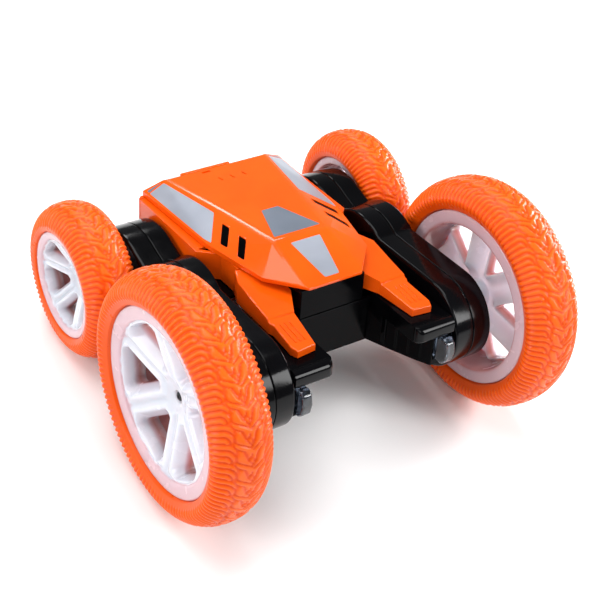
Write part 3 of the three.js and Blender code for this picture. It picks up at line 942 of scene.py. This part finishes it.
def make_hood():
    shell = hood_hull(0, 0)
    ridge_points = [Vector((s * x, y, z)) for x, y, z in HOOD_RIDGE for s in (1, -1)]

    def on_ridge(_, edge):
        return all(min((v.co - p).length for p in ridge_points) < 0.2 for v in edge.verts)

    def off_rim_wall(mid, _):
        return mid.z > HOOD_RIM_Z + 0.2 or mid.z < HOOD_RIM_Z + 0.01

    rounded(shell, RIDGE_CHAMFER, 1, 6, on_ridge)
    rounded(shell, EDGE_ROUND, 3, 20, off_rim_wall)
    tree = BVHTree.FromBMesh(shell)
    frames = []
    cutters = []
    for sign in (1, -1):
        for outline in VENTS:
            mirrored = [(sign * x, y) for x, y in outline]
            frames.append(vent_frame(tree, mirrored))
            opening = prism(rounded_outline(mirrored, VENT_CORNER), 10, ABOVE)
            cutters.append(carved(opening, vent_relief(tree, mirrored), "UNION"))
    for x, y in TOP_DASHES:
        cutters.append(prism([(x + dx, y + dy) for dx, dy in DASH], UNDER_TOP, ABOVE))
    notch_floor = dropped(tree, *NOTCH_MIDDLE, 0).z - NOTCH_DEPTH
    cutters.append(prism(REAR_NOTCH, notch_floor, ABOVE))
    hollow = carved(shell, hood_hull(WALL, WALL))
    hood = carved(hollow, merged(*cutters))
    tab = rounded(block(*REAR_LIP), 0.2, 2)
    piece(
        "faceted_hood",
        merged(hood, tab, *frames),
        ORANGE,
        "car_body",
        stands_for=["hood"],
        sharp=28,
    )
    return tree


# Outlines of the decals, as (x, y): two on each side, given for the left, and two on top.
WINDOW = [(21.0, 42.6), (16.7, 16.9), (24.4, 5.6), (25.1, 8.9), (26.5, 42.2)]
CORNER = [(26.5, 44.2), (21.4, 43.5), (26.5, 42.7)]
TOP_SCREEN = [(3.2, 9.3), (8.8, -7.1), (-8.8, -7.1), (-3.2, 9.3)]
FRONT_SCREEN = [(5.6, -11.7), (2.7, -27.4), (-2.7, -27.4), (-5.6, -11.7)]
VENT_SHADE_SCALE = 0.985
VENT_SHADE_LIFT = -0.2


def make_decals(tree):
    for side, sign in SIDES.items():
        decal(f"{side}_window_decal", tree, [(sign * x, y) for x, y in WINDOW], SILVER)
        decal(f"{side}_corner_decal", tree, [(sign * x, y) for x, y in CORNER], DARK_SILVER)
        # A black sheet just below each vent's opening: painted shade in the vent.
        for number, outline in enumerate(VENTS, 1):
            centre = outline_middle(outline)
            inner = [centre + (Vector(p) - centre) * VENT_SHADE_SCALE for p in outline]
            decal(
                f"{side}_vent_painted_shade_{number}",
                tree,
                [(sign * p.x, p.y) for p in inner],
                SHADED_BLACK,
                VENT_CORNER,
                VENT_SHADE_LIFT,
            )
    # The top screen takes the darker grey finish: painted shade for the darker reflection it
    # shows.
    decal("top_screen_decal", tree, TOP_SCREEN, DARK_SILVER)
    decal("front_screen_decal", tree, FRONT_SCREEN, SILVER)


# ---------- arms ----------
ARM_INNER_X = 30.6
ARM_SEAM_X = 37.7
ARM_OUTER_X = 45
ARM_TOP = 15.5
PIVOT_BUMP = 19.2
REAR_BUMP = (28, -1.5, 19.5)
FRONT_END = (-39.7, 0, ARM_TOP)
AXLE_SPAN = 35
SEAM_GAP = 0.15
BUSH_HOLE = 5.3
AXLE_HOLE = 1.8
# Insets of the outline, with the distance from the face and then from the seam.
CASE_ROUNDING = [(1.1, 0.0), (0.55, 0.08), (0.2, 0.28), (0.04, 0.6), (0.0, 1.1)]
CASE_SEAM = [(0.0, 0.25), (0.08, 0.05), (0.3, 0.0), (WALL, 0.0)]


def arc(centre_y, centre_z, radius, start, end, steps):
    made = []
    for i in range(steps + 1):
        t = math.radians(start + (end - start) * i / steps)
        made.append((centre_y + radius * math.cos(t), centre_z + radius * math.sin(t)))
    return made


def arm_outline(inset):
    y, z, radius = REAR_BUMP
    start = math.degrees(math.asin(-z / (radius - inset)))
    top = arc(y, z, radius - inset, start, 116, 30)
    top += arc(0, 0, PIVOT_BUMP - inset, 46, 126, 26)
    y, z, radius = FRONT_END
    top += arc(y, z, radius - inset, 90, 180, 26)
    bottom = [(py, -pz) for py, pz in reversed(top[1:-1])]
    return top + bottom


def case_half(face_x, seam_x, holes):
    """Half of an arm's gear case: a bevelled wall round a cavity open at the seam."""
    toward = 1 if seam_x > face_x else -1
    rings = []
    for inset, depth in CASE_ROUNDING:
        rings.append([(face_x + toward * depth, y, z) for y, z in arm_outline(inset)])
    for inset, distance in CASE_SEAM:
        rings.append([(seam_x - toward * distance, y, z) for y, z in arm_outline(inset)])
    rings.append([(face_x + toward * WALL, y, z) for y, z in arm_outline(WALL)])
    case = rings_mesh(rings)
    for y, radius in holes:
        drill = disc([(radius, face_x - 3), (radius, face_x + 3)], 40)
        drill.transform(Matrix.Translation((0, y, 0)))
        case = carved(case, drill)
    return case


def make_arm(side):
    axle_holes = [(AXLE_SPAN, AXLE_HOLE), (-AXLE_SPAN, AXLE_HOLE)]
    for name, face_x, seam_x, holes in (
        ("inner", ARM_INNER_X, ARM_SEAM_X - SEAM_GAP, [(0, BUSH_HOLE)]),
        ("outer", ARM_OUTER_X, ARM_SEAM_X + SEAM_GAP, axle_holes),
    ):
        piece(
            f"{side}_arm_{name}_shell",
            case_half(face_x, seam_x, holes),
            BLACK,
            f"{side}_arm",
            matrix=sided(BODY, side),
            stands_for=[f"{side}_arm_{name}_case"],
            sharp=40,
        )


# ---------- fenders, skirts and lamps ----------
FENDER_RIB_X = [20.3, 22.0, 23.7]
FENDER_RIB_ENDS = [(-34.5, 13.75), (-43.5, 12.72)]
FENDER_RIB_SECTION = [(-0.35, 0), (0.35, 0), (0.2, 0.35), (-0.2, 0.35)]


def make_fender(side):
    matrix = sided(BODY, side)
    bm = copied(f"{side}_fender", matrix)

    def outer_edge(mid, edge):
        top = max(v.co.z for v in edge.verts)
        return mid.x > 17 and mid.z > 11.5 and mid.y < -9 and top > 12

    rounded(bm, 0.9, 3, 25, outer_edge)
    ribs = []
    for x in FENDER_RIB_X:
        rib = rings_mesh(
            [
                [(x + dx, y, z + dz) for dx, dz in FENDER_RIB_SECTION]
                for y, z in FENDER_RIB_ENDS
            ]
        )
        ribs.append(rounded(rib, 0.08, 2))
    piece(
        f"{side}_moulded_fender",
        merged(bm, *ribs),
        ORANGE,
        "car_body",
        matrix=matrix,
        stands_for=[f"{side}_fender"],
        sharp=30,
    )


def make_softened(node, name, material, body, width, segments=3, angle=22, side=None):
    """A CAD node with its edges rounded, for the same place."""
    matrix = sided(BODY, side) if side else BODY
    bm = copied(node, matrix)
    rounded(bm, width, segments, angle)
    piece(name, bm, material, body, matrix=matrix, stands_for=[node], sharp=30)


LAMP_RIBS = 4
LAMP_RIB_START = (17.4, -33.6)
LAMP_RIB_STEP = (1.9, -4.0)
LAMP_RIB_HALF_WIDTH = 0.5
LAMP_RIB_Y = (-2.2, 1.6)
LAMP_RIB_Z = (-7.2, 3.4)
BAR_BACK_Y = -51.2
BAR_REACH = 2.6  # how far the bar stands out in front of its back
BAR_X = (16, 30.2)
BAR_END_ROUND = 2.2
BAR_TOP = (9.5, 2.4)  # height and rounding of the top edge
BAR_BOTTOM = (4.2, 0.8)
BAR_STEPS = 8


def front_bar():
    """The polished bar across a lamp housing, rounded at its top and at its inner end."""
    section_points = []
    for (level, radius), start, side_of in ((BAR_TOP, 90, -1), (BAR_BOTTOM, 180, 1)):
        for i in range(BAR_STEPS + 1):
            t = math.radians(start + 90 * i / BAR_STEPS)
            reach = BAR_REACH - radius - radius * math.cos(t)
            section_points.append((reach, level + side_of * radius + radius * math.sin(t)))
    rings = []
    for i in range(BAR_STEPS + 1):
        t = math.radians(90 * i / BAR_STEPS)
        away = BAR_END_ROUND * (1 - math.sin(t))
        x = BAR_X[0] + BAR_END_ROUND * (1 - math.cos(t))
        share = (BAR_REACH - away) / BAR_REACH
        rings.append((x, share))
    rings.append((BAR_X[1], 1.0))
    return rings_mesh(
        [
            [(x, BAR_BACK_Y, BAR_TOP[0])]
            + [(x, BAR_BACK_Y - reach * share, z) for reach, z in section_points]
            + [(x, BAR_BACK_Y, BAR_BOTTOM[0])]
            for x, share in rings
        ]
    )


def make_lamp(side):
    make_softened(
        f"{side}_lamp_housing",
        f"{side}_lamp_block",
        SHADED_BLACK,
        "car_body",
        0.25,
        side=side,
    )
    piece(
        f"{side}_front_bar",
        front_bar(),
        BLACK,
        "car_body",
        matrix=sided(BODY, side),
        stands_for=[f"{side}_bumper_bar"],
        sharp=40,
        flat=False,
    )
    make_softened(
        f"{side}_lamp_lens",
        f"{side}_clear_lens",
        CLEAR,
        "car_body",
        0.8,
        4,
        side=side,
    )
    matrix = sided(BODY, side)
    ribs = []
    for i in range(LAMP_RIBS):
        x = LAMP_RIB_START[0] + LAMP_RIB_STEP[0] * i
        y = LAMP_RIB_START[1] + LAMP_RIB_STEP[1] * i
        across = (x - LAMP_RIB_HALF_WIDTH, x + LAMP_RIB_HALF_WIDTH)
        rib = block(across, (y + LAMP_RIB_Y[0], y + LAMP_RIB_Y[1]), LAMP_RIB_Z)
        ribs.append(rounded(rib, 0.35, 3))
    piece(
        f"{side}_lamp_ribs", merged(*ribs), SHADED_BLACK, "car_body", matrix=matrix
    )


LEDGE_X = (21.0, 27.5)
LEDGE_Y = (-7.8, 7.2)
LEDGE_Z = (7.95, 8.75)


def make_deck():
    """The deck with the two ledges that close the tub at the waist."""
    deck = rounded(copied("chassis_deck"), 0.4, 3, 22)
    ledges = [block((LEDGE_X[0] * s, LEDGE_X[1] * s)[::s], LEDGE_Y, LEDGE_Z) for s in (1, -1)]
    piece(
        "deck_shell",
        merged(deck, *ledges),
        SHADED_BLACK,
        "car_body",
        stands_for=["chassis_deck"],
        sharp=30,
    )


# ---------- assembly ----------
hood_surface = make_hood()
make_decals(hood_surface)
make_softened("rear_panel", "rear_skirt", ORANGE, "car_body", 0.45)
make_softened("chassis_tub", "tub_shell", SHADED_BLACK, "car_body", 0.5)
make_deck()
make_softened("battery_cover", "battery_hatch", SHADED_BLACK, "car_body", 0.3)
make_softened(
    "power_switch_knob", "switch_slider", SATIN_BLACK, "power_switch", 0.15
)
for side in SIDES:
    make_arm(side)
    make_fender(side)
    make_softened(
        f"{side}_quarter_panel",
        f"{side}_side_skirt",
        ORANGE,
        "car_body",
        0.4,
        side=side,
    )
    make_lamp(side)
    for end, wheel in WHEELS.items():
        label = f"{side}_{end}"
        make_tyre(label, side, wheel)
        make_hub(label, side, wheel, CELL_TURN[end])
        make_hub_screw(label, side)

# CAD nodes that stay as they are take a finish by what they are made of.
FINISH_OF = {
    "axle": STEEL,
    "idler_pin": STEEL,
    "idler_gear": GEAR,
    "axle_gear": GEAR,
    "drive_pinion": GEAR,
    "motor": MOTOR_CAN,
    "pivot_bush": SATIN_BLACK,
    "led": RESIN,
    "power_switch_body": SATIN_BLACK,
    "circuit_board": BOARD,
    "battery_cell": SLEEVE,
}
for name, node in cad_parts.items():
    for ending, material in FINISH_OF.items():
        if name.endswith(ending):
            node.data.materials.clear()
            node.data.materials.append(material)

# ---------- stage, light and camera ----------
stage_finish = Finish("studio_floor", Roughness=0.6)
stage_finish.color(
    stage_finish.ramp(
        stage_finish.noise(6, 2), [(0.3, (0.92, 0.92, 0.92)), (0.7, (0.94, 0.94, 0.94))]
    )
)
floor_mesh = bpy.data.meshes.new("studio_floor")
FLOOR_REACH = 3.0  # metres
floor_corners = [(-1, -1), (1, -1), (1, 1), (-1, 1)]
floor_mesh.from_pydata(
    [(x * FLOOR_REACH, y * FLOOR_REACH, 0) for x, y in floor_corners], [], [(0, 1, 2, 3)]
)
floor_mesh.materials.append(stage_finish.material)
floor = bpy.data.objects.new("studio_floor", floor_mesh)
bpy.context.scene.collection.objects.link(floor)


def softbox(name, location, target, size, power):
    data = bpy.data.lights.new(name, "AREA")
    data.shape = "RECTANGLE"
    data.size, data.size_y = size
    data.energy = power
    obj = bpy.data.objects.new(name, data)
    obj.location = location
    obj.rotation_mode = "QUATERNION"
    direction = Vector(target) - Vector(location)
    obj.rotation_quaternion = direction.to_track_quat("-Z", "Y")
    bpy.context.scene.collection.objects.link(obj)


AIM = (0, 0, 0.03)
softbox("overhead", (-0.10, 0.25, 0.95), AIM, (0.9, 0.7), 8.6)
softbox("right", (0.95, 0.05, 0.32), AIM, (0.3, 0.3), 8.5)
softbox("ridge", (0.25, 0.84, 0.62), AIM, (0.2, 0.2), 1.7)
softbox("edge", (-0.71, 0.58, 0.54), AIM, (0.25, 0.12), 1.5)
softbox("fill", (-0.45, -0.85, 0.80), AIM, (0.45, 0.3), 2.0)
softbox("front_right", (0.50, -0.70, 0.58), AIM, (0.26, 0.5), 6)
softbox("left", (-0.95, 0.05, 0.50), AIM, (0.4, 0.6), 5.0)

world = bpy.data.worlds.new("studio")
world.use_nodes = True
world.node_tree.nodes["Background"].inputs["Color"].default_value = (0.95, 0.97, 1.0, 1)
world.node_tree.nodes["Background"].inputs["Strength"].default_value = 0.22
bpy.context.scene.world = world
bpy.context.scene.view_settings.view_transform = "Standard"

AZIMUTH, ELEVATION, ROLL = (math.radians(a) for a in (-41.69, 42.66, 13.08))
DISTANCE = 0.4674
SHIFT_RIGHT, SHIFT_DOWN = 0.00528, 0.00934
AIM_HEIGHT = 0.040
back = Vector(
    (
        math.sin(AZIMUTH) * math.cos(ELEVATION),
        -math.cos(AZIMUTH) * math.cos(ELEVATION),
        math.sin(ELEVATION),
    )
)
level_x = Vector((0, 0, 1)).cross(back).normalized()
level_y = back.cross(level_x)
right = math.cos(ROLL) * level_x + math.sin(ROLL) * level_y
up = -math.sin(ROLL) * level_x + math.cos(ROLL) * level_y
camera_data = bpy.data.cameras.new("camera")
camera_data.sensor_width = 36
camera_data.lens = 84.74
camera = bpy.data.objects.new("camera", camera_data)
target = Vector((0, PIVOT.y, AIM_HEIGHT))
place = target + back * DISTANCE + right * SHIFT_RIGHT - up * SHIFT_DOWN
camera.matrix_world = Matrix(
    (
        (right.x, up.x, back.x, place.x),
        (right.y, up.y, back.y, place.y),
        (right.z, up.z, back.z, place.z),
        (0, 0, 0, 1),
    )
)
bpy.context.scene.collection.objects.link(camera)
bpy.context.scene.camera = camera
